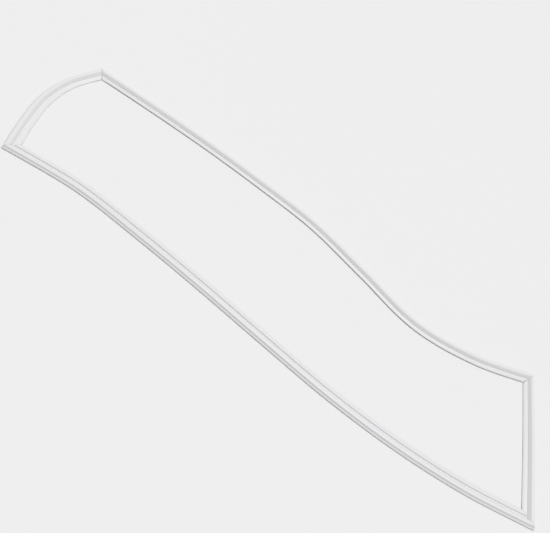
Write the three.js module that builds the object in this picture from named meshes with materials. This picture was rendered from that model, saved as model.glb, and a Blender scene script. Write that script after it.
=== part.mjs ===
import * as THREE from "three";

// Refrigerator door gasket: a rectangular loop of soft white PVC profile with a flexible magnet in each side.
// Four lengths of one extruded profile are mitred and heat-welded at the corners. Before the welding, a magnet
// strip is slid into the pocket of each length.
// The loop lies loose on a level surface, on its flange and with the magnet face up, so its long sides stray
// from straight as they do on a new gasket that has just been unrolled.
// Millimetres, +Z up, long sides along X, handle side towards -Y, centre of the loop's footprint at the origin.

// The loop, measured along its outer edge
const loopLength = 1483;
const loopWidth = 413;

// How far the top end leans back from square in the loose loop, in degrees
const leanAngle = 6.9;

// How far each side strays from the straight line between its corners, at equal steps along it.
// The sides are walked round the loop with its inside on the left, and a positive bend is towards the inside.
const handleSideBends = [21, 13, -2, -21, -38, -42, -30];
const bottomEndBends = [-2];
const hingeSideBends = [66, 88, 45, 4, -8, -12, -8];
const topEndBends = [-38, -46, -28];

// The profile as a whole
const profileWidth = 34;
const profileHeight = 10.2;
const edgeRound = 0.4;

// The flange that the door's inner panel clamps, and how far it stays back from the profile's two edges
const flangeThickness = 1.2;
const flangeSetback = 6;
const flapOverhang = 5;

// The flexible magnet strip and the pocket round it
const magnetWidth = 6;
const magnetThickness = 2;
const magnetClearance = 0.3;
const magnetSetback = 12;
const topSkin = 1.4;
const pocketFloor = 0.8;
const pocketWall = 1;
const outerRound = 2;
const innerRound = 2.4;

// The hollow bellows that lets the magnet bulb reach out to the cabinet. Its fold is the profile's outer edge.
const bulbOuter = 5.5;
const shoulderReach = 1.2;
const shoulderRise = 0.4;
const foldHeight = 3;
const foldRound = 0.6;
const bellowsWall = 0.7;
const bellowsSpread = 6.1;
const footHeight = 3.2;
const footLean = 0.3;
const floorThinning = 0.15;

// The flap that covers the edge of the door's inner panel
const flapGap = 2.6;
const flapThickness = 0.9;
const flapLean = 1.8;
const flapHeight = 6.2;
const flapBendReach = 6.9;
const flapBendHeight = 4.2;
const flapTipHeight = 2;
const flapRound = 1.6;

// How finely the sides and the curves of the section are stepped
const stationSpacing = 48;
const curveSteps = 3;

// Places across the section that follow from the sizes above
const pocketLeft = bulbOuter + pocketWall;
const pocketRight = pocketLeft + magnetWidth + 2 * magnetClearance;
const pocketTop = profileHeight - topSkin;
const pocketBottom = pocketTop - magnetThickness - 2 * magnetClearance;
const bulbInner = pocketRight;
const bulbBottom = pocketBottom - pocketFloor;
const bellowsFoot = bulbInner + bellowsSpread;
const flapRoot = bellowsFoot + flapGap;
const flapCrest = flapRoot + flapLean;
const flapBend = flapCrest + flapBendReach;
const flangeEnd = profileWidth - flapOverhang;

// Section of the PVC: across from the outer edge is x, up from the surface it lies on is y.
// The corners run round it anticlockwise, each with how far its rounding reaches.
function profileSection() {
  const section = roundedPath(new THREE.Shape(), [
    [flangeSetback, 0, 0],
    [flangeEnd, 0, 0],
    [flangeEnd, flangeThickness, edgeRound],
    ...flapCorners(),
    [bellowsFoot, flangeThickness, 0],
    [bellowsFoot - footLean, footHeight, 0],
    [bulbInner, profileHeight, innerRound],
    [bulbOuter, profileHeight, outerRound],
    [bulbOuter - shoulderReach, bulbBottom + shoulderRise, 0],
    [0, foldHeight, foldRound],
    [flangeSetback, flangeThickness, 0],
  ]);
  section.holes.push(magnetPocket(), bellowsChamber());
  return section;
}

// The flap climbs from its root beside the bellows, turns over at the crest and droops to its tip
function flapCorners() {
  return [
    [flapRoot + 1.1 * flapThickness, flangeThickness, 0],
    [flapCrest + 0.5 * flapThickness, flapHeight - 1.2 * flapThickness, 0.4 * flapRound],
    [flapBend, flapBendHeight - flapThickness, 0],
    [profileWidth - 0.5 * flapThickness, flapTipHeight - flapThickness, 0],
    [profileWidth, flapTipHeight, 0],
    [flapBend, flapBendHeight, 0],
    [flapCrest, flapHeight, flapRound],
    [flapRoot, flangeThickness, 0],
  ];
}

function magnetPocket() {
  return roundedPath(new THREE.Path(), [
    [pocketLeft, pocketBottom, 0],
    [pocketLeft, pocketTop, 0],
    [pocketRight, pocketTop, 0],
    [pocketRight, pocketBottom, 0],
  ]);
}

// The chamber keeps an even wall inside the fold, and its floor is a little thinner than the flange beside it
function bellowsChamber() {
  const floor = flangeThickness - floorThinning;
  const upper = Math.atan2(bulbBottom - foldHeight, bulbOuter);
  const lower = Math.atan2(foldHeight - flangeThickness, flangeSetback);
  const depth = bellowsWall / Math.sin((upper + lower) / 2);
  const aim = (upper - lower) / 2;
  const slope = (bulbInner - bellowsFoot + footLean) / (profileHeight - footHeight);
  return roundedPath(new THREE.Path(), [
    [depth * Math.cos(aim), foldHeight + depth * Math.sin(aim), 0],
    [bulbOuter + bellowsWall / Math.sin(upper), bulbBottom, 0],
    [bulbInner + slope * (bulbBottom - profileHeight) - 1.3 * bellowsWall, bulbBottom, 0],
    [bellowsFoot - footLean - 1.3 * bellowsWall, footHeight, 0],
    [bellowsFoot - 1.4 * bellowsWall, floor, 0],
    [flangeSetback + bellowsWall / Math.sin(lower), floor, 0],
  ]);
}

function magnetSection() {
  const left = pocketLeft + magnetClearance;
  const bottom = pocketBottom + magnetClearance;
  return roundedPath(new THREE.Shape(), [
    [left, bottom, 0],
    [left + magnetWidth, bottom, 0],
    [left + magnetWidth, bottom + magnetThickness, 0],
    [left, bottom + magnetThickness, 0],
  ]);
}

// Draws the path from corner to corner, each rounded as far as its reach along both of its edges
function roundedPath(path, corners) {
  const points = corners.map(([x, y]) => new THREE.Vector2(x, y));
  points.forEach((corner, i) => {
    const reach = corners[i][2];
    const start = stepTowards(corner, points.at(i - 1), reach);
    const end = stepTowards(corner, points[(i + 1) % points.length], reach);
    if (i === 0) path.moveTo(start.x, start.y);
    else path.lineTo(start.x, start.y);
    if (reach > 0) path.quadraticCurveTo(corner.x, corner.y, end.x, end.y);
  });
  return path;
}

function stepTowards(corner, aim, reach) {
  return aim.clone().sub(corner).setLength(reach).add(corner);
}

// The outer edge of one side, drawn along X from the origin over the given chord
function bentEdge(chord, bends) {
  const offsets = [0, ...bends, 0];
  const step = chord / (offsets.length - 1);
  return new THREE.SplineCurve(offsets.map((bend, i) => new THREE.Vector2(i * step, bend)));
}

// The straight distance between a side's corners at which its bent edge has its full length
function chordFor(length, bends) {
  let low = 0.5 * length;
  let high = length;
  for (let i = 0; i < 40; i += 1) {
    const middle = (low + high) / 2;
    if (bentEdge(middle, bends).getLength() < length) low = middle;
    else high = middle;
  }
  return (low + high) / 2;
}

// Corners of the loose loop: four sides of fixed length are a linkage, and the lean sets its one freedom
function loopCorners(chords) {
  const [handle, bottom, hinge, top] = chords;
  const lean = THREE.MathUtils.degToRad(90 + leanAngle);
  const topHandle = new THREE.Vector2(0, 0);
  const bottomHandle = new THREE.Vector2(handle, 0);
  const topHinge = new THREE.Vector2(Math.cos(lean), Math.sin(lean)).multiplyScalar(top);
  const across = bottomHandle.clone().sub(topHinge);
  const distance = across.length();
  const along = (hinge ** 2 - bottom ** 2 + distance ** 2) / (2 * distance);
  const aside = Math.sqrt(hinge ** 2 - along ** 2);
  across.normalize();
  const bottomHinge = topHinge.clone().addScaledVector(across, along).addScaledVector(inward(across), aside);
  return [topHandle, bottomHandle, bottomHinge, topHinge];
}

// The inside of the loop is on the left of the direction in which its sides are walked
function inward(direction) {
  return new THREE.Vector2(-direction.y, direction.x);
}

// Stations where a side's section is set across it, each with its outer point and its inward direction.
// The first and the last ones keep clear of the mitres, and the corners are added by mitreCorners.
function sideStations(side, from, to) {
  const edge = bentEdge(from.distanceTo(to), side.bends);
  const turn = Math.atan2(to.y - from.y, to.x - from.x);
  const centre = new THREE.Vector2(0, 0);
  const length = edge.getLength();
  const cornerRun = 1.4 * profileWidth;
  const count = Math.round((length - 2 * cornerRun) / stationSpacing);
  const stations = [];
  for (let i = 0; i <= count; i += 1) {
    const share = (cornerRun + ((length - 2 * cornerRun) * i) / count) / length;
    stations.push({
      outer: edge.getPointAt(share).rotateAround(centre, turn).add(from),
      across: inward(edge.getTangentAt(share).rotateAround(centre, turn)),
    });
  }
  return stations;
}

// At a corner both sides end on one mitre plane, so they share one slanted section
function mitreCorners(corners, runs) {
  return corners.map((corner, i) => {
    const before = runs[(i + 3) % 4].at(-1).outer;
    const after = runs[i][0].outer;
    const arriving = inward(corner.clone().sub(before).normalize());
    const leaving = inward(after.clone().sub(corner).normalize());
    const across = arriving.clone().add(leaving).divideScalar(1 + arriving.dot(leaving));
    return { outer: corner, across };
  });
}

// A station between two others, as the straight run between them has it
function between(a, b, share) {
  return { outer: a.outer.clone().lerp(b.outer, share), across: a.across.clone().lerp(b.across, share) };
}

// Closed solid with the given section at every station and a flat face at each end
function sweep(shape, stations) {
  const { shape: outline, holes } = shape.extractPoints(curveSteps);
  const rings = [outline, ...holes].map((ring, i) => {
    const open = ring.at(0).distanceTo(ring.at(-1)) < 1e-6 ? ring.slice(0, -1) : ring;
    return THREE.ShapeUtils.isClockWise(open) === (i > 0) ? open : open.slice().reverse();
  });
  const ringPoints = rings.flat();
  const positions = stations.flatMap(({ outer, across }) =>
    ringPoints.flatMap(({ x, y }) => [outer.x + across.x * x, outer.y + across.y * x, y]),
  );
  const index = [];
  const stride = ringPoints.length;
  stations.slice(1).forEach((_, i) => {
    let start = i * stride;
    rings.forEach((ring) => {
      ring.forEach((_point, j) => {
        const a = start + j;
        const b = start + ((j + 1) % ring.length);
        index.push(a, b, a + stride, b, b + stride, a + stride);
      });
      start += ring.length;
    });
  });
  const last = (stations.length - 1) * stride;
  THREE.ShapeUtils.triangulateShape(rings[0], rings.slice(1)).forEach(([a, b, c]) => {
    index.push(a, c, b, last + a, last + b, last + c);
  });
  const geometry = new THREE.BufferGeometry();
  geometry.setAttribute("position", new THREE.Float32BufferAttribute(positions, 3));
  geometry.setIndex(index);
  geometry.computeVertexNormals();
  return geometry;
}

function addMesh(group, name, geometry, material) {
  const mesh = new THREE.Mesh(geometry, material);
  mesh.name = name;
  group.add(mesh);
}

const sides = [
  { name: "handle_side", length: loopLength, bends: handleSideBends },
  { name: "bottom_end", length: loopWidth, bends: bottomEndBends },
  { name: "hinge_side", length: loopLength, bends: hingeSideBends },
  { name: "top_end", length: loopWidth, bends: topEndBends },
];
const corners = loopCorners(sides.map((side) => chordFor(side.length, side.bends)));
const runs = sides.map((side, i) => sideStations(side, corners[i], corners[(i + 1) % 4]));
const mitres = mitreCorners(corners, runs);

const softPvc = new THREE.MeshStandardMaterial({ color: 0xe9e9e7, roughness: 0.5, metalness: 0 });
const magnetRubber = new THREE.MeshStandardMaterial({ color: 0x3b3431, roughness: 0.8, metalness: 0 });
const gasket = new THREE.Group();

sides.forEach((side, i) => {
  const run = runs[i];
  const start = mitres[i];
  const end = mitres[(i + 1) % 4];
  addMesh(gasket, `${side.name}_profile`, sweep(profileSection(), [start, ...run, end]), softPvc.clone());

  // The strip is cut short of the mitres, so that the welding tool doesn't meet it
  const startShare = magnetSetback / start.outer.distanceTo(run[0].outer);
  const endShare = magnetSetback / end.outer.distanceTo(run.at(-1).outer);
  const strip = [between(start, run[0], startShare), ...run, between(end, run.at(-1), endShare)];
  addMesh(gasket, `${side.name}_magnet`, sweep(magnetSection(), strip), magnetRubber.clone());
});

// The origin is the middle of the loop's footprint
const middle = new THREE.Box3().setFromObject(gasket).getCenter(new THREE.Vector3());
gasket.position.set(-middle.x, -middle.y, 0);

export default gasket;
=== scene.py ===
import math

import bpy
import numpy as np
from mathutils import Matrix, Vector


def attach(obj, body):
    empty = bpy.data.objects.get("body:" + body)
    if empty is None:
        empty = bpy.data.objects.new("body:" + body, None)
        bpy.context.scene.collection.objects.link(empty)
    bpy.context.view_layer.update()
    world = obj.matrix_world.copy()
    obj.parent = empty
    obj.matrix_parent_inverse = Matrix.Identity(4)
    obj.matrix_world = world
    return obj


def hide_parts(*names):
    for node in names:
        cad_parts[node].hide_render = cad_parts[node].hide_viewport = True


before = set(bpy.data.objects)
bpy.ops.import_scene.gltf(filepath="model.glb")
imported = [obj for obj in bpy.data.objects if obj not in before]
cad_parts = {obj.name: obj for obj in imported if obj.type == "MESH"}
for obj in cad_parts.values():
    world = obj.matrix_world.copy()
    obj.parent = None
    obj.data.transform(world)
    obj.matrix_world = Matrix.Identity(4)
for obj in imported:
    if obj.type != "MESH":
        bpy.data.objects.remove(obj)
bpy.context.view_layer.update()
scene = bpy.context.scene


# The loop as it lies
# A new gasket is unrolled on a level surface and rests there on its flange, with the magnet face up. Its
# four sides keep their cut lengths, but the soft profile strays from straight.

LOOP_LENGTH = 1.483
LOOP_WIDTH = 0.413
LEAN = math.radians(6.9)
PROFILE_WIDTH = 0.0340

# Each side runs straight for a short way from its mitres, and is bent between these runs
CORNER_RUN = 1.4 * PROFILE_WIDTH
STATION_STEP = 0.004
EDGE_POINTS = 4000
CHORD_POINTS = 800
HALVINGS = 30

# Each side's length, and how far it strays from the line between its corners, at equal steps along it.
# The sides are walked round the loop with its inside on the left, and a positive bend is towards the inside.
SIDES = {
    "handle_side": (LOOP_LENGTH, [0.021, 0.013, -0.002, -0.021, -0.038, -0.042, -0.030]),
    "bottom_end": (LOOP_WIDTH, [-0.002]),
    "hinge_side": (LOOP_LENGTH, [0.066, 0.088, 0.045, 0.004, -0.008, -0.012, -0.008]),
    "top_end": (LOOP_WIDTH, [-0.038, -0.046, -0.028]),
}


def left_of(vectors):
    return np.stack([-vectors[..., 1], vectors[..., 0]], axis=-1)


def unit(vectors):
    return vectors / np.linalg.norm(vectors, axis=-1, keepdims=True)


def bent_edge(chord, bends, count=EDGE_POINTS):
    """Points of a side's outer edge along X, on a smooth curve through its bends."""
    knots = np.array([[chord * i / (len(bends) + 1), y] for i, y in enumerate([0, *bends, 0])])
    place = np.linspace(0, len(knots) - 1, count)
    span = np.minimum(place.astype(int), len(knots) - 2)
    t = (place - span)[:, None]
    before, start, end, after = (
        knots[np.clip(span + shift, 0, len(knots) - 1)] for shift in (-1, 0, 1, 2)
    )
    leaving = (end - before) / 2
    arriving = (after - start) / 2
    return (
        (2 * start - 2 * end + leaving + arriving) * t**3
        + (3 * end - 3 * start - 2 * leaving - arriving) * t**2
        + leaving * t
        + start
    )


def distances(points):
    return np.concatenate([[0], np.cumsum(np.linalg.norm(np.diff(points, axis=0), axis=1))])


def chord_for(length, bends):
    """Straight distance between a side's corners at which its bent edge has its full length."""
    low, high = length / 2, length
    for _ in range(HALVINGS):
        middle = (low + high) / 2
        if distances(bent_edge(middle, bends, CHORD_POINTS))[-1] < length:
            low = middle
        else:
            high = middle
    return (low + high) / 2


def loop_corners():
    """Four sides of fixed length are a linkage, and the lean of the top end sets its one freedom."""
    handle, bottom, hinge, top = (chord_for(*side) for side in SIDES.values())
    top_handle = np.array([0.0, 0.0])
    bottom_handle = np.array([handle, 0.0])
    top_hinge = top * np.array([-math.sin(LEAN), math.cos(LEAN)])
    across = bottom_handle - top_hinge
    distance = np.linalg.norm(across)
    along = (hinge**2 - bottom**2 + distance**2) / (2 * distance)
    aside = math.sqrt(hinge**2 - along**2)
    across = across / distance
    bottom_hinge = top_hinge + along * across + aside * left_of(across)
    return [top_handle, bottom_handle, bottom_hinge, top_hinge]


def curved_run(start, end, bends):
    """Stations between the mitres: outer points and the directions across the profile."""
    edge = bent_edge(np.linalg.norm(end - start), bends)
    forward = unit(end - start)
    edge = start + edge[:, :1] * forward + edge[:, 1:] * left_of(forward)
    walked = distances(edge)
    stops = np.arange(CORNER_RUN, walked[-1] - CORNER_RUN, STATION_STEP)
    outer = np.stack([np.interp(stops, walked, edge[:, axis]) for axis in (0, 1)], axis=-1)
    tangent = unit(np.gradient(edge, axis=0))
    across = left_of(np.stack([np.interp(stops, walked, tangent[:, axis]) for axis in (0, 1)], axis=-1))
    return outer, unit(across)


def straight_run(corner, mitre, outer, across):
    """Stations from a mitre to the curved run, which the two ends of a side have straight."""
    share = np.linspace(0, 1, round(CORNER_RUN / STATION_STEP), endpoint=False)[:, None]
    return corner + share * (outer - corner), mitre + share * (across - mitre)


def loop_stations():
    """For each side the outer points, the directions across and the distances along, mitre to mitre."""
    corners = loop_corners()
    curved = [
        curved_run(corners[i], corners[(i + 1) % 4], bends)
        for i, (_, bends) in enumerate(SIDES.values())
    ]
    mitres = []
    for i, corner in enumerate(corners):
        arriving = left_of(unit(corner - curved[i - 1][0][-1]))
        leaving = left_of(unit(curved[i][0][0] - corner))
        mitres.append((arriving + leaving) / (1 + arriving @ leaving))
    stations = {}
    for i, name in enumerate(SIDES):
        outer, across = curved[i]
        after = (i + 1) % 4
        first = straight_run(corners[i], mitres[i], outer[0], across[0])
        last = straight_run(corners[after], mitres[after], outer[-1], across[-1])
        outer = np.concatenate([first[0], outer, last[0][::-1]])
        across = np.concatenate([first[1], across, last[1][::-1]])
        stations[name] = (outer, across, distances(outer))
    inner = [outer + PROFILE_WIDTH * across for outer, across, _ in stations.values()]
    reach = np.concatenate([outer for outer, _, _ in stations.values()] + inner)
    middle = (reach.min(axis=0) + reach.max(axis=0)) / 2
    return {name: (outer - middle, across, walked) for name, (outer, across, walked) in stations.items()}


STATIONS = loop_stations()


# Section of the profile
# One extrusion of soft PVC: a flange that the door's inner panel clamps, a bellows that lets the magnet bulb
# reach out to the cabinet, the bulb with its magnet pocket, and a flap that covers the edge of the panel.
# Across from the outer edge is the first value, and up from the floor the second.

PROFILE_HEIGHT = 0.0102
FLANGE = 0.0012
FLANGE_START = 0.0060
FLANGE_END = 0.0290
BULB_OUTER = 0.0055
POCKET = (0.0065, 0.0131)
POCKET_LEVELS = (0.0062, 0.0088)
BULB_INNER = 0.0131
BULB_BOTTOM = 0.0054
SHOULDER_REACH = 0.0012
SHOULDER_RISE = 0.0004
FOLD_HEIGHT = 0.0030
BELLOWS_WALL = 0.0007
BELLOWS_FOOT = 0.0192
FOOT_HEIGHT = 0.0032
FOOT_LEAN = 0.0003
CHAMBER_TOP_END = 0.0162
CHAMBER_FOOT = 0.0180
FLOOR_THINNING = 0.00015
FLAP = 0.0009
FLAP_ROOT = 0.0218
FLAP_CREST = (0.0236, 0.0062)
FLAP_BEND = (0.0305, 0.0042)
FLAP_TIP = 0.0020
ROUNDING_POINTS = 5


def rounded(corners):
    """Ring of points through corners given as (across, up, how far the rounding reaches)."""
    points = []
    for i, (x, y, reach) in enumerate(corners):
        here = np.array([x, y])
        before = np.array(corners[i - 1][:2])
        after = np.array(corners[(i + 1) % len(corners)][:2])
        start = here + reach * unit(before - here)
        end = here + reach * unit(after - here)
        for t in np.linspace(0, 1, ROUNDING_POINTS):
            points.append((1 - t) ** 2 * start + 2 * t * (1 - t) * here + t**2 * end)
    return np.array(points)


def outline_corners():
    """Corners round the section. The flap's underside lies about one thickness below its top."""
    crest, crest_height = FLAP_CREST
    bend, bend_height = FLAP_BEND
    return [
        (FLANGE_START, 0, 0.0003),
        (FLANGE_END, 0, 0.0002),
        (FLANGE_END, FLANGE, 0.0004),
        (FLAP_ROOT + 1.1 * FLAP, FLANGE, 0.0003),
        (crest + 0.5 * FLAP, crest_height - 1.2 * FLAP, 0.0010),
        (bend - 0.0002, bend_height - FLAP, 0.0020),
        (PROFILE_WIDTH - 0.0004, FLAP_TIP - FLAP, 0.0002),
        (PROFILE_WIDTH, FLAP_TIP, 0.0004),
        (bend, bend_height, 0.0020),
        (crest, crest_height, 0.0016),
        (FLAP_ROOT, FLANGE, 0.0004),
        (BELLOWS_FOOT, FLANGE, 0.0004),
        (BELLOWS_FOOT - FOOT_LEAN, FOOT_HEIGHT, 0.0010),
        (BULB_INNER, PROFILE_HEIGHT, 0.0024),
        (BULB_OUTER, PROFILE_HEIGHT, 0.0020),
        (BULB_OUTER - SHOULDER_REACH, BULB_BOTTOM + SHOULDER_RISE, 0.0012),
        (0, FOLD_HEIGHT, 0.0006),
        (FLANGE_START, FLANGE, 0.0005),
    ]


def hollow_rings():
    """The magnet pocket, and the bellows chamber, whose slanted walls have an even thickness."""
    left, right = POCKET
    bottom, top = POCKET_LEVELS
    pocket = [(left, bottom), (left, top), (right, top), (right, bottom)]
    floor = FLANGE - FLOOR_THINNING
    upper = math.atan2(BULB_BOTTOM - FOLD_HEIGHT, BULB_OUTER)
    lower = math.atan2(FOLD_HEIGHT - FLANGE, FLANGE_START)
    half = (upper + lower) / 2
    aim = (upper - lower) / 2
    depth = BELLOWS_WALL / math.sin(half)
    chamber = [
        (depth * math.cos(aim), FOLD_HEIGHT + depth * math.sin(aim)),
        (BULB_OUTER + BELLOWS_WALL / math.sin(upper), BULB_BOTTOM),
        (CHAMBER_TOP_END, BULB_BOTTOM),
        (CHAMBER_FOOT, FOOT_HEIGHT),
        (BELLOWS_FOOT - BELLOWS_WALL - FOOT_LEAN, floor),
        (FLANGE_START + BELLOWS_WALL / math.sin(lower), floor),
    ]
    return [np.array(pocket), np.array(chamber)]


OUTLINE = rounded(outline_corners())
RINGS = [OUTLINE, *hollow_rings()]


# The PVC's finish
# Soft white PVC straight from the die has a low satin gloss. Fine die lines run along it, its gloss is
# slightly uneven, and plasticiser leaves the faintest clouding in its white.

PVC_WHITE = (0.815, 0.815, 0.825, 1)
PVC_SHADE = (0.795, 0.795, 0.805, 1)
PVC_ROUGHNESS = (0.36, 0.52)
DIE_LINES = (4, 2600, 1)


def node_group(name, inputs, outputs):
    group = bpy.data.node_groups.new(name, "ShaderNodeTree")
    for title, kind in inputs:
        group.interface.new_socket(name=title, in_out="INPUT", socket_type=kind)
    for title, kind in outputs:
        group.interface.new_socket(name=title, in_out="OUTPUT", socket_type=kind)
    return group, group.nodes.new("NodeGroupInput"), group.nodes.new("NodeGroupOutput")


def grain_group():
    """Uneven grain: a mask for colour and gloss, and a height for the relief."""
    group, given, result = node_group(
        "uneven_grain",
        [
            ("Vector", "NodeSocketVector"),
            ("Cloud Scale", "NodeSocketFloat"),
            ("Grain Scale", "NodeSocketFloat"),
        ],
        [("Cloud", "NodeSocketFloat"), ("Grain", "NodeSocketFloat")],
    )
    for title, detail, output in (("Cloud Scale", 3.0, "Cloud"), ("Grain Scale", 2.0, "Grain")):
        noise = group.nodes.new("ShaderNodeTexNoise")
        noise.inputs["Detail"].default_value = detail
        group.links.new(given.outputs["Vector"], noise.inputs["Vector"])
        group.links.new(given.outputs[title], noise.inputs["Scale"])
        group.links.new(noise.outputs["Fac"], result.inputs[output])
    return group


GRAIN = grain_group()


def principled(name):
    material = bpy.data.materials.new(name)
    material.use_nodes = True
    return material, material.node_tree, material.node_tree.nodes["Principled BSDF"]


def spread(tree, value, low, high):
    """A value from 0 to 1 laid out between two others."""
    node = tree.nodes.new("ShaderNodeMapRange")
    node.inputs["To Min"].default_value = low
    node.inputs["To Max"].default_value = high
    tree.links.new(value, node.inputs["Value"])
    return node.outputs["Result"]


def placed_grain(tree, vector, cloud_scale, grain_scale=900.0):
    grain = tree.nodes.new("ShaderNodeGroup")
    grain.node_tree = GRAIN
    grain.inputs["Cloud Scale"].default_value = cloud_scale
    grain.inputs["Grain Scale"].default_value = grain_scale
    tree.links.new(vector, grain.inputs["Vector"])
    return grain


def tinted(tree, mask, low_colour, high_colour):
    mix = tree.nodes.new("ShaderNodeMix")
    mix.data_type = "RGBA"
    mix.inputs["A"].default_value = low_colour
    mix.inputs["B"].default_value = high_colour
    tree.links.new(mask, mix.inputs["Factor"])
    return mix.outputs["Result"]


def relief(tree, height, strength, distance, under=None):
    """The normal of a fine relief, laid over another relief where there is one under it."""
    bump = tree.nodes.new("ShaderNodeBump")
    bump.inputs["Strength"].default_value = strength
    bump.inputs["Distance"].default_value = distance
    tree.links.new(height, bump.inputs["Height"])
    if under is not None:
        tree.links.new(under, bump.inputs["Normal"])
    return bump.outputs["Normal"]


def pvc_material():
    material, tree, shader = principled("soft_white_pvc")
    place = tree.nodes.new("ShaderNodeTexCoord")
    grain = placed_grain(tree, place.outputs["Object"], cloud_scale=9.0, grain_scale=1100.0)
    colour = tinted(tree, grain.outputs["Cloud"], PVC_SHADE, PVC_WHITE)
    tree.links.new(colour, shader.inputs["Base Color"])
    tree.links.new(spread(tree, grain.outputs["Cloud"], *PVC_ROUGHNESS), shader.inputs["Roughness"])

    surface = tree.nodes.new("ShaderNodeUVMap")
    surface.uv_map = "surface"
    stretch = tree.nodes.new("ShaderNodeMapping")
    stretch.inputs["Scale"].default_value = DIE_LINES
    lines = tree.nodes.new("ShaderNodeTexNoise")
    lines.noise_dimensions = "2D"
    lines.inputs["Scale"].default_value = 1.0
    lines.inputs["Detail"].default_value = 2.0
    tree.links.new(surface.outputs["UV"], stretch.inputs["Vector"])
    tree.links.new(stretch.outputs["Vector"], lines.inputs["Vector"])
    die = relief(tree, lines.outputs["Fac"], strength=0.25, distance=0.0001)
    fine = relief(tree, grain.outputs["Grain"], strength=0.12, distance=0.00008, under=die)
    tree.links.new(fine, shader.inputs["Normal"])
    return material


SOFT_PVC = pvc_material()


# The four profile lengths
# Each length is cut from the same extrusion and mitred at both ends. Geometry Nodes sweep the section along
# the stations of its side. The soft flap ripples a little, lies higher on some sides than on others, and
# draws back from some of the mitres, where the weld doesn't reach it.

FLAP_LIFTS = {"handle_side": 0.0, "bottom_end": -0.0008, "hinge_side": 0.0010, "top_end": -0.0009}
RIPPLE = 0.0006
RIPPLE_PITCH = 0.055
RIPPLE_SEED_STEP = 10.0
END_CALM = 0.060
FLAP_DRAW = 0.5
NOTCHES = {
    "handle_side": (0.0, 0.0),
    "bottom_end": (0.0, 0.0016),
    "hinge_side": (0.0016, 0.0004),
    "top_end": (0.0004, 0.0),
}
NOTCH_RUN = 0.014
JOINING = 4e-6


def line_mesh(name, points, edges, values):
    """Mesh of bare edges that carries one named value, or one named vector, for each of its points."""
    data = bpy.data.meshes.new(name)
    data.from_pydata(points, edges, [])
    for title, numbers in values.items():
        vector = numbers.ndim == 2
        layer = data.attributes.new(title, "FLOAT_VECTOR" if vector else "FLOAT", "POINT")
        layer.data.foreach_set("vector" if vector else "value", numbers.astype(np.float32).ravel())
    return data


def drawn_back(name):
    """How the flap is drawn back along a side at each station, away from the mitre that is nearer."""
    outer, _, walked = STATIONS[name]
    first, last = NOTCHES[name]
    along = unit(np.gradient(outer, axis=0))
    return np.where((walked > walked[-1] / 2)[:, None], -last * along, first * along)


def side_line(name):
    """The outer edge of a side, with the direction across it and the distances along it and to its ends."""
    outer, across, walked = STATIONS[name]
    points = np.column_stack([outer, np.zeros(len(outer))])
    steps = [(i, i + 1) for i in range(len(points) - 1)]
    values = {
        "outer_edge": points,
        "across": np.column_stack([across, np.zeros(len(across))]),
        "drawn_back": np.column_stack([drawn_back(name), np.zeros(len(across))]),
        "walked": walked,
        "from_end": np.minimum(walked, walked[-1] - walked),
    }
    return line_mesh(f"{name}_line", points.tolist(), steps, values)


def section_object():
    """The rings of the section, each point with its place in it and how far round its ring it lies."""
    points, edges, girth = [], [], []
    for ring in RINGS:
        begin = len(points)
        points += ring.tolist()
        edges += [(begin + j, begin + (j + 1) % len(ring)) for j in range(len(ring))]
        girth += distances(ring).tolist()
    flat = np.column_stack([points, np.zeros(len(points))])
    values = {"place": flat, "girth": np.array(girth)}
    data = line_mesh("profile_section", flat.tolist(), edges, values)
    return bpy.data.objects.new("profile_section", data)


class Tree:
    """A Geometry Nodes tree whose nodes are added and linked in one step."""

    def __init__(self, name, inputs):
        self.group = bpy.data.node_groups.new(name, "GeometryNodeTree")
        self.group.interface.new_socket(name="Geometry", in_out="INPUT", socket_type="NodeSocketGeometry")
        self.sockets = {}
        for title, kind in inputs:
            made = self.group.interface.new_socket(name=title, in_out="INPUT", socket_type=kind)
            self.sockets[title] = made.identifier
        self.group.interface.new_socket(name="Geometry", in_out="OUTPUT", socket_type="NodeSocketGeometry")
        self.given = self.group.nodes.new("NodeGroupInput").outputs

    def add(self, kind, inputs=None, **settings):
        node = self.group.nodes.new(kind)
        for title, value in settings.items():
            setattr(node, title, value)
        for title, value in (inputs or {}).items():
            if isinstance(value, bpy.types.NodeSocket):
                self.group.links.new(value, node.inputs[title])
            else:
                node.inputs[title].default_value = value
        return node

    def number(self, operation, *values):
        node = self.add("ShaderNodeMath", dict(enumerate(values)), operation=operation)
        return node.outputs["Value"]

    def vector(self, operation, *values):
        node = self.add("ShaderNodeVectorMath", dict(enumerate(values)), operation=operation)
        return node.outputs["Vector"]

    def scaled(self, vector, share):
        node = self.add("ShaderNodeVectorMath", {0: vector, "Scale": share}, operation="SCALE")
        return node.outputs["Vector"]

    def raised(self, height):
        return self.add("ShaderNodeCombineXYZ", {"Z": height}).outputs["Vector"]

    def named(self, title, vector=False):
        kind = "FLOAT_VECTOR" if vector else "FLOAT"
        node = self.add("GeometryNodeInputNamedAttribute", {"Name": title}, data_type=kind)
        return node.outputs["Attribute"]

    def finish(self, geometry, material):
        """Every tree ends in plain geometry with its material."""
        real = self.add("GeometryNodeRealizeInstances", {"Geometry": geometry}).outputs["Geometry"]
        done = self.add("GeometryNodeSetMaterial", {"Geometry": real, "Material": material})
        result = self.group.nodes.new("NodeGroupOutput")
        self.group.links.new(done.outputs["Geometry"], result.inputs["Geometry"])


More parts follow.
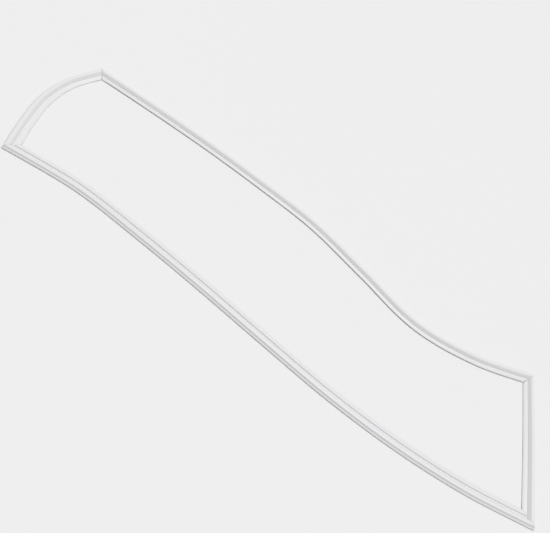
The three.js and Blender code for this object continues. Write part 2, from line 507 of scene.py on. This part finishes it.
def set_across(tree, place, corner, across, lift, notch):
    """Where a place in the section comes to lie. A lifted flap draws in, and is notched at some mitres."""
    given = tree.given
    parts = tree.add("ShaderNodeSeparateXYZ", {"Vector": place}).outputs
    share = tree.add("ShaderNodeMapRange", {
        "Value": parts["X"], "From Min": given["Flap From"], "From Max": given["Flap To"],
    }).outputs["Result"]
    past = tree.number("GREATER_THAN", parts["X"], given["Flange End"])
    over = tree.number("GREATER_THAN", parts["Y"], given["Flange Top"])
    share = tree.number("MULTIPLY", share, tree.number("MAXIMUM", past, over))
    lift = tree.number("MULTIPLY", lift, share)
    inwards = tree.number("SUBTRACT", parts["X"], tree.number("MULTIPLY", lift, FLAP_DRAW))
    spot = tree.vector("ADD", corner, tree.scaled(across, inwards))
    spot = tree.vector("ADD", spot, tree.scaled(notch, share))
    return tree.vector("ADD", spot, tree.raised(tree.number("ADD", parts["Y"], lift)))


def mitre_cut(tree, cut, corner, mitre, notch):
    """The filled section stood up in a mitre plane, with the flap's share of it drawn back."""
    place = tree.add("GeometryNodeInputPosition").outputs["Position"]
    spot = set_across(tree, place, corner, mitre, 0.0, notch)
    return tree.add("GeometryNodeSetPosition", {"Geometry": cut, "Position": spot}).outputs["Geometry"]


def sweep_tree():
    """Sweeps the section along a side, with its flap lifted, rippled and drawn back from both mitres."""
    tree = Tree("profile_sweep", [
        ("Section", "NodeSocketObject"),
        ("Flap From", "NodeSocketFloat"),
        ("Flap To", "NodeSocketFloat"),
        ("Flange End", "NodeSocketFloat"),
        ("Flange Top", "NodeSocketFloat"),
        ("First Corner", "NodeSocketVector"),
        ("First Mitre", "NodeSocketVector"),
        ("First Notch", "NodeSocketVector"),
        ("Last Corner", "NodeSocketVector"),
        ("Last Mitre", "NodeSocketVector"),
        ("Last Notch", "NodeSocketVector"),
        ("Flap Lift", "NodeSocketFloat"),
        ("Ripple", "NodeSocketFloat"),
        ("Ripple Pitch", "NodeSocketFloat"),
        ("Ripple Seed", "NodeSocketFloat"),
        ("End Calm", "NodeSocketFloat"),
        ("Notch Run", "NodeSocketFloat"),
        ("Material", "NodeSocketMaterial"),
    ])
    given = tree.given
    section = tree.add("GeometryNodeObjectInfo", {"Object": given["Section"]})
    rings = tree.add("GeometryNodeMeshToCurve", {"Mesh": section.outputs["Geometry"]}).outputs["Curve"]
    path = tree.add("GeometryNodeMeshToCurve", {"Mesh": given["Geometry"]}).outputs["Curve"]
    tube = tree.add("GeometryNodeCurveToMesh", {"Curve": path, "Profile Curve": rings}).outputs["Mesh"]

    walked = tree.named("walked")
    calm = tree.add("ShaderNodeMapRange", {
        "Value": tree.named("from_end"), "From Min": 0.0, "From Max": given["End Calm"],
    }, interpolation_type="SMOOTHSTEP").outputs["Result"]
    waves = tree.add("ShaderNodeTexNoise", {
        "W": tree.number("ADD", tree.number("DIVIDE", walked, given["Ripple Pitch"]), given["Ripple Seed"]),
        "Scale": 1.0,
        "Detail": 2.0,
    }, noise_dimensions="1D")
    ripple = tree.number("MULTIPLY", waves.outputs["Fac"], given["Ripple"])
    lift = tree.number("MULTIPLY", tree.number("ADD", given["Flap Lift"], ripple), calm)
    fading = tree.add("ShaderNodeMapRange", {
        "Value": tree.named("from_end"), "From Min": 0.0, "From Max": given["Notch Run"],
        "To Min": 1.0, "To Max": 0.0,
    }, interpolation_type="SMOOTHSTEP").outputs["Result"]
    notch = tree.scaled(tree.named("drawn_back", vector=True), fading)
    spot = set_across(
        tree, tree.named("place", vector=True), tree.named("outer_edge", vector=True),
        tree.named("across", vector=True), lift, notch,
    )
    tube = tree.add("GeometryNodeSetPosition", {"Geometry": tube, "Position": spot}).outputs["Geometry"]
    laid = tree.add("ShaderNodeCombineXYZ", {"X": walked, "Y": tree.named("girth")}).outputs["Vector"]
    tube = tree.add("GeometryNodeStoreNamedAttribute", {
        "Geometry": tube, "Name": "surface", "Value": laid,
    }, data_type="FLOAT2", domain="CORNER").outputs["Geometry"]
    tube = tree.add("GeometryNodeSetShadeSmooth", {"Geometry": tube}).outputs["Geometry"]

    cut = tree.add("GeometryNodeFillCurve", {"Curve": rings}).outputs["Mesh"]
    first = mitre_cut(tree, cut, given["First Corner"], given["First Mitre"], given["First Notch"])
    last = mitre_cut(tree, cut, given["Last Corner"], given["Last Mitre"], given["Last Notch"])
    first = tree.add("GeometryNodeFlipFaces", {"Mesh": first}).outputs["Mesh"]
    joined = tree.add("GeometryNodeJoinGeometry")
    for piece in (tube, first, last):
        tree.group.links.new(piece, joined.inputs["Geometry"])
    closed = tree.add("GeometryNodeMergeByDistance", {
        "Geometry": joined.outputs["Geometry"], "Distance": JOINING,
    })
    tree.finish(closed.outputs["Geometry"], given["Material"])
    return tree


def baked(tree, line, values, name):
    """The result of a tree on a line of points, as a plain mesh object."""
    source = bpy.data.objects.new(name, line)
    scene.collection.objects.link(source)
    modifier = source.modifiers.new("made", "NODES")
    modifier.node_group = tree.group
    for title, value in values.items():
        modifier[tree.sockets[title]] = value
    evaluated = source.evaluated_get(bpy.context.evaluated_depsgraph_get())
    plain_mesh = bpy.data.meshes.new_from_object(evaluated)
    # The tree's material comes after an empty slot, which is taken out
    for i, material in reversed(list(enumerate(plain_mesh.materials))):
        if material is None:
            plain_mesh.materials.pop(index=i)
    source.modifiers.remove(modifier)
    source.data = plain_mesh
    return source


def turned_out(mesh):
    """A swept solid whose volume comes out negative is inside out, so its faces are flipped."""
    co = np.array([vertex.co for vertex in mesh.vertices])
    mesh.calc_loop_triangles()
    tris = np.array([tri.vertices[:] for tri in mesh.loop_triangles])
    a, b, c = co[tris[:, 0]], co[tris[:, 1]], co[tris[:, 2]]
    if np.einsum("ij,ij->i", a, np.cross(b, c)).sum() < 0:
        mesh.flip_normals()


def add_length(tree, section, name, seed):
    """One length of the profile, from mitre to mitre."""
    outer, across, _ = STATIONS[name]
    notch = drawn_back(name)
    length = baked(tree, side_line(name), {
        "Section": section,
        "Flap From": FLAP_CREST[0],
        "Flap To": PROFILE_WIDTH,
        "Flange End": FLANGE_END + JOINING,
        "Flange Top": FLANGE + JOINING,
        "First Corner": (*outer[0], 0.0),
        "First Mitre": (*across[0], 0.0),
        "First Notch": (*notch[0], 0.0),
        "Last Corner": (*outer[-1], 0.0),
        "Last Mitre": (*across[-1], 0.0),
        "Last Notch": (*notch[-1], 0.0),
        "Flap Lift": FLAP_LIFTS[name],
        "Ripple": RIPPLE,
        "Ripple Pitch": RIPPLE_PITCH,
        "Ripple Seed": seed,
        "End Calm": END_CALM,
        "Notch Run": NOTCH_RUN,
        "Material": SOFT_PVC,
    }, f"{name}_pvc")
    turned_out(length.data)
    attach(length, "root")
    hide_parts(f"{name}_profile")


SWEEP = sweep_tree()
SECTION = section_object()
for turn, name in enumerate(SIDES):
    add_length(SWEEP, SECTION, name, RIPPLE_SEED_STEP * turn)
bpy.data.objects.remove(SECTION)


# The magnet strips
# A flexible strip of ferrite powder bonded in rubber, rolled and slit to width, is slid into the pocket of
# each length before the corners are welded. It is dark brown, dull and faintly speckled.

FERRITE_DARK = (0.030, 0.026, 0.023, 1)
FERRITE_LIGHT = (0.060, 0.050, 0.044, 1)
FERRITE_ROUGHNESS = (0.7, 0.9)


def ferrite_material():
    material, tree, shader = principled("bonded_ferrite")
    place = tree.nodes.new("ShaderNodeTexCoord")
    grain = placed_grain(tree, place.outputs["Object"], cloud_scale=60.0, grain_scale=2400.0)
    colour = tinted(tree, grain.outputs["Grain"], FERRITE_DARK, FERRITE_LIGHT)
    tree.links.new(colour, shader.inputs["Base Color"])
    tree.links.new(spread(tree, grain.outputs["Cloud"], *FERRITE_ROUGHNESS), shader.inputs["Roughness"])
    speckle = relief(tree, grain.outputs["Grain"], strength=0.3, distance=0.00005)
    tree.links.new(speckle, shader.inputs["Normal"])
    return material


BONDED_FERRITE = ferrite_material()
for name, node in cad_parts.items():
    finish = BONDED_FERRITE if name.endswith("_magnet") else SOFT_PVC
    node.data.materials.clear()
    node.data.materials.append(finish)


# The weld flash
# Each corner is heated and pressed together, and a thin uneven bead of PVC is left standing along the weld.
# It follows the outline over the top of the section at the mitre, from the flap's crest to the fold.

FLASH_RADIUS = 0.0002
FLASH_STEP = 0.0006
FLASH_WANDER = 0.00012
FLASH_SINK = 0.00015
FLASH_GRAIN = 700.0
FLASH_FACES = 8
FLASH_SEED_STEP = 3.0
NOISE_MIDDLE = (0.5, 0.5, 0.5)


def flash_line(name):
    """The outline over the top of the section, from the flap's crest to the fold, in a side's mitre."""
    outer, across, _ = STATIONS[name]
    first = int(np.argmin(np.abs(OUTLINE[:, 0] - PROFILE_WIDTH)))
    last = int(np.argmin(OUTLINE[:, 0]))
    over = OUTLINE[first:last + 1]
    over = over[over[:, 0] < FLAP_CREST[0]]
    points = np.column_stack([outer[0] + over[:, :1] * across[0], over[:, 1] - FLASH_SINK])
    steps = [(i, i + 1) for i in range(len(points) - 1)]
    return line_mesh(f"{name}_flash", points.tolist(), steps, {})


def flash_tree():
    """Lays a thin wandering bead along a line."""
    tree = Tree("weld_flash", [
        ("Radius", "NodeSocketFloat"),
        ("Step", "NodeSocketFloat"),
        ("Wander", "NodeSocketFloat"),
        ("Seed", "NodeSocketFloat"),
        ("Material", "NodeSocketMaterial"),
    ])
    given = tree.given
    path = tree.add("GeometryNodeMeshToCurve", {"Mesh": given["Geometry"]}).outputs["Curve"]
    path = tree.add("GeometryNodeResampleCurve", {"Curve": path, "Length": given["Step"]}, mode="LENGTH")
    noise = tree.add("ShaderNodeTexNoise", {
        "W": given["Seed"], "Scale": FLASH_GRAIN, "Detail": 1.0,
    }, noise_dimensions="4D")
    even = tree.vector("SUBTRACT", noise.outputs["Color"], NOISE_MIDDLE)
    path = tree.add("GeometryNodeSetPosition", {
        "Geometry": path.outputs["Curve"], "Offset": tree.scaled(even, given["Wander"]),
    }).outputs["Geometry"]
    ring = tree.add("GeometryNodeCurvePrimitiveCircle", {
        "Resolution": FLASH_FACES, "Radius": given["Radius"],
    })
    bead = tree.add("GeometryNodeCurveToMesh", {
        "Curve": path, "Profile Curve": ring.outputs["Curve"], "Fill Caps": True,
    }).outputs["Mesh"]
    smooth = tree.add("GeometryNodeSetShadeSmooth", {"Geometry": bead}).outputs["Geometry"]
    tree.finish(smooth, given["Material"])
    return tree


FLASH = flash_tree()
for turn, name in enumerate(SIDES):
    bead = baked(FLASH, flash_line(name), {
        "Radius": FLASH_RADIUS,
        "Step": FLASH_STEP,
        "Wander": FLASH_WANDER,
        "Seed": FLASH_SEED_STEP * turn,
        "Material": SOFT_PVC,
    }, f"{name}_weld_flash")
    turned_out(bead.data)
    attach(bead, "root")


# The surface it lies on, the light and the camera
# A plain pale table, an even light from all round, and one broad lamp almost overhead, a little behind the
# loop and to its right. The camera looks down from the handle side.

FLOOR_PALE = (0.86, 0.86, 0.86, 1)
# Painted shade: the table darkens faintly in wide random patches, standing in for soft shadows on it
FLOOR_PAINTED_SHADE = (0.85, 0.85, 0.85, 1)
FLOOR_HALF = 12.0


def floor_material():
    material, tree, shader = principled("pale_table")
    place = tree.nodes.new("ShaderNodeTexCoord")
    grain = placed_grain(tree, place.outputs["Object"], cloud_scale=0.6)
    # The cloud mixes the table's white toward the painted shade in wide random patches
    colour = tinted(tree, grain.outputs["Cloud"], FLOOR_PAINTED_SHADE, FLOOR_PALE)
    tree.links.new(colour, shader.inputs["Base Color"])
    shader.inputs["Roughness"].default_value = 0.9
    shader.inputs["Specular IOR Level"].default_value = 0.2
    return material


def add_floor():
    signs = [(-1, -1), (1, -1), (1, 1), (-1, 1)]
    corners = [(x * FLOOR_HALF, y * FLOOR_HALF, 0) for x, y in signs]
    data = bpy.data.meshes.new("table_top")
    data.from_pydata(corners, [], [(0, 1, 2, 3)])
    data.materials.append(floor_material())
    floor = bpy.data.objects.new("table_top", data)
    scene.collection.objects.link(floor)


AROUND = 0.44
LAMP_LEVEL = 0.565
LAMP_FROM = Vector((0.10, 0.18, 1.0))
LAMP_SPREAD = math.radians(40)


def add_light():
    """An even sky gives most of the light, and one broad lamp the rest."""
    world = bpy.data.worlds.new("studio")
    world.use_nodes = True
    tree = world.node_tree
    sky = tree.nodes["Background"]
    sky.inputs["Color"].default_value = (1, 1, 1, 1)
    sky.inputs["Strength"].default_value = AROUND
    seen = tree.nodes.new("ShaderNodeBackground")
    seen.inputs["Color"].default_value = FLOOR_PALE
    path = tree.nodes.new("ShaderNodeLightPath")
    choose = tree.nodes.new("ShaderNodeMixShader")
    tree.links.new(path.outputs["Is Camera Ray"], choose.inputs["Fac"])
    tree.links.new(sky.outputs["Background"], choose.inputs[1])
    tree.links.new(seen.outputs["Background"], choose.inputs[2])
    tree.links.new(choose.outputs["Shader"], tree.nodes["World Output"].inputs["Surface"])
    scene.world = world

    lamp = bpy.data.lights.new("broad_lamp", "SUN")
    lamp.angle = LAMP_SPREAD
    lamp.energy = LAMP_LEVEL * math.pi / LAMP_FROM.normalized().z
    holder = bpy.data.objects.new("broad_lamp", lamp)
    holder.rotation_euler = LAMP_FROM.to_track_quat("Z", "Y").to_euler()
    scene.collection.objects.link(holder)


IMAGE_WIDTH = 550
FOCAL_PIXELS = 500
SENSOR_MM = 36
CAMERA_AT = Vector((-0.0282, -0.7882, 0.9619))
LOOKS_DOWN = math.radians(50.61)
HEADING = math.radians(-0.88)
ROLL = math.radians(34.97)


def add_camera():
    """The camera is rolled about its own axis, so the loop lies slanting in the picture."""
    forward = Vector((
        math.sin(HEADING) * math.cos(LOOKS_DOWN),
        math.cos(HEADING) * math.cos(LOOKS_DOWN),
        -math.sin(LOOKS_DOWN),
    ))
    level_right = Vector((math.cos(HEADING), -math.sin(HEADING), 0))
    level_up = level_right.cross(forward)
    right = math.cos(ROLL) * level_right + math.sin(ROLL) * level_up
    up = math.cos(ROLL) * level_up - math.sin(ROLL) * level_right
    data = bpy.data.cameras.new("camera")
    data.sensor_fit = "HORIZONTAL"
    data.sensor_width = SENSOR_MM
    data.lens = SENSOR_MM * FOCAL_PIXELS / IMAGE_WIDTH
    camera = bpy.data.objects.new("camera", data)
    turn = Matrix((right, up, -forward)).transposed()
    camera.matrix_world = Matrix.Translation(CAMERA_AT) @ turn.to_4x4()
    scene.collection.objects.link(camera)
    scene.camera = camera


add_floor()
add_light()
add_camera()
scene.view_settings.view_transform = "Standard"
